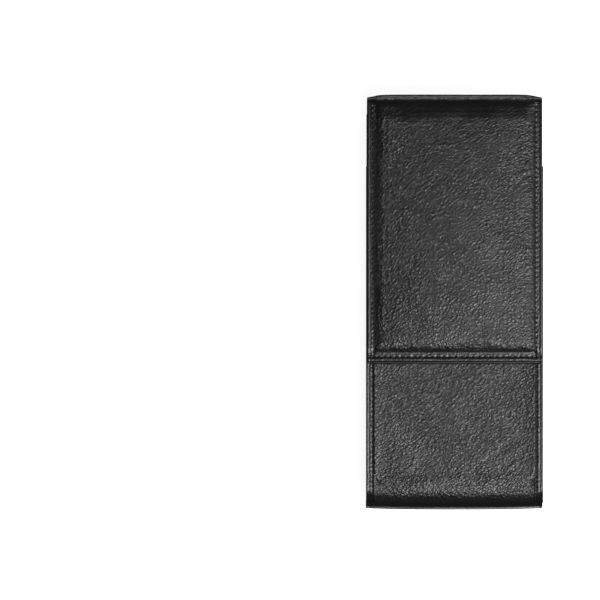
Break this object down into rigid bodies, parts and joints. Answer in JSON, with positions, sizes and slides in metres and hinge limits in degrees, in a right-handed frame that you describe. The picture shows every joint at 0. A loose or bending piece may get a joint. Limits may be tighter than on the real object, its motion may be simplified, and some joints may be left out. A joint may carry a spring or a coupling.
{
  "type": "pen case",
  "caption": "Flat leather pen case with a padded fold-over flap, sewn gusset sides, a stiff spine and parted pen channels.",
  "frame": {"origin": "under the middle of the case, on the plane its back face lies on", "axes": "+Z out of the front face, +Y towards the spine, +X to the right with the flap facing the viewer and the spine at the top"},
  "size_m": [0.069, 0.161, 0.0238],
  "materials": {
    "nappa": "satin, pebble grain",
    "lining": "matt",
    "board": "matt",
    "foam": "matt",
    "thread": "bonded, low sheen",
    "steel": "plated"
  },
  "bodies": {
    "case": {"back_leather": "nappa", "back_board": "board", "back_lining": "lining", "pocket_leather": "nappa", "pocket_board": "board", "bottom_board": "board", "pocket_lining": "lining", "mouth_facing": "nappa", "left_gusset": "nappa", "right_gusset": "nappa", "left_divider": "lining", "right_divider": "lining", "mouth_seam": "thread", "left_front_seam": "thread", "right_front_seam": "thread", "left_back_seam": "thread", "right_back_seam": "thread", "left_keeper_plate": "steel", "right_keeper_plate": "steel"},
    "spine": {"spine_leather": "nappa", "spine_board": "board", "spine_lining": "lining"},
    "flap": {"flap_leather": "nappa", "flap_pad": "foam", "flap_board": "board", "flap_lining": "lining", "left_flap_seam": "thread", "right_flap_seam": "thread", "flap_edge_seam": "thread", "left_magnet": "steel", "right_magnet": "steel"}
  },
  "joints": [
    {"name": "spine_fold", "type": "hinge", "parent": "case", "child": "spine", "pos_m": [0, 0.07947, 0.00103], "axis": [-1, 0, 0], "range_deg": [0, 80]},
    {"name": "flap_fold", "type": "hinge", "parent": "spine", "child": "flap", "pos_m": [0, 0.07962, 0.02172], "axis": [-1, 0, 0], "range_deg": [0, 90]}
  ]
}
